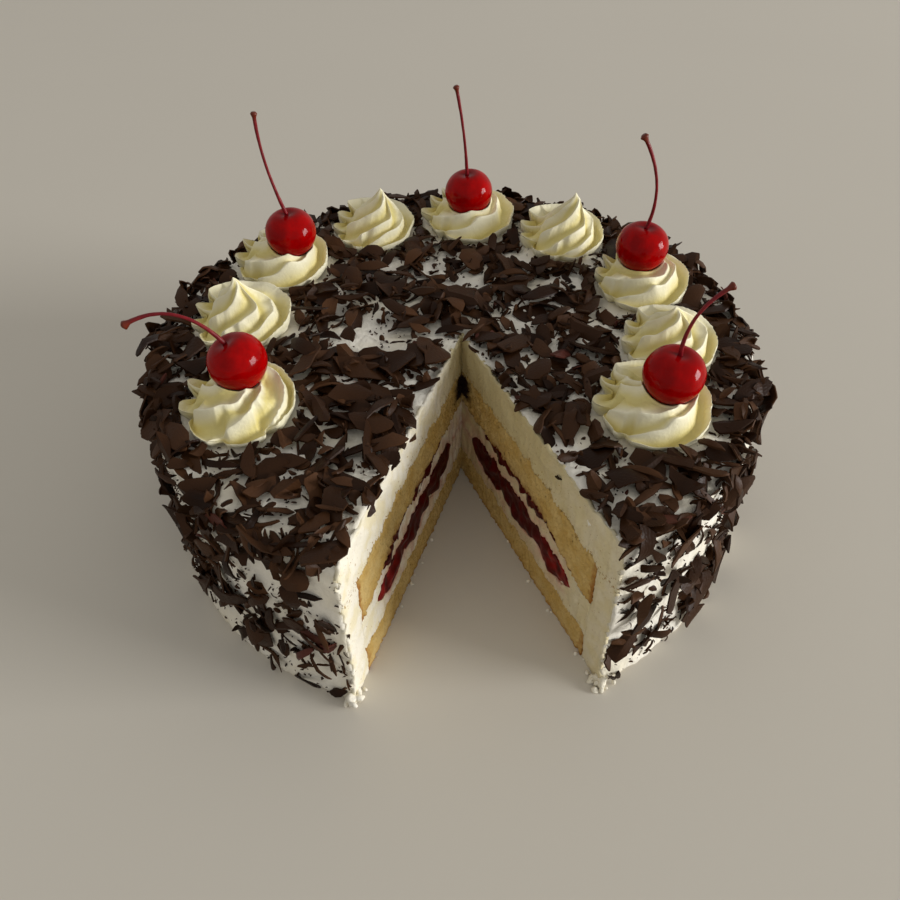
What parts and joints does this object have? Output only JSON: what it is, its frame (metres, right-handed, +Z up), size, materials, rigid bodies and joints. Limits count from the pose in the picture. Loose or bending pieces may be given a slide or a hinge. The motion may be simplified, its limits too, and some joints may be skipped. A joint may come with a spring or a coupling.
{
  "type": "white forest cake",
  "caption": "Round cream cake on a flat base with a slice cut out, layered inside, ringed on top by piped cream swirls with stemmed cherries and covered in chocolate shavings.",
  "frame": {"origin": "on the cake's vertical axis, in the plane of its flat base", "axes": "+Z up along the cake's axis, -Y towards the missing slice, +X to the right as one faces it"},
  "size_m": [0.2029, 0.1968, 0.1206],
  "materials": {
    "frosting": "satin whipped cream with dark chocolate shavings",
    "rosette": "satin, pale butter yellow cream",
    "cream_filling": "satin, cut cream",
    "sponge": "matte open crumb with a browned crust",
    "jam": "wet, very dark red",
    "cherry": "glossy deep red skin",
    "stem": "semi-gloss dark red, brown at the end"
  },
  "bodies": {
    "root": {"sponge_bottom": "sponge", "sponge_top": "sponge", "cream_filling_lower": "cream_filling", "cream_filling_upper": "cream_filling", "cherry_jam": "jam", "jam_smear": "jam", "frosting": "frosting", "rosette_1": "rosette", "rosette_2": "rosette", "rosette_3": "rosette", "rosette_4": "rosette", "rosette_5": "rosette", "rosette_6": "rosette", "rosette_7": "rosette", "rosette_8": "rosette", "rosette_9": "rosette", "cherry_1": "cherry", "cherry_2": "cherry", "cherry_3": "cherry", "cherry_4": "cherry", "cherry_5": "cherry", "stem_1": "stem", "stem_2": "stem", "stem_3": "stem", "stem_4": "stem", "stem_5": "stem"}
  },
  "joints": []
}
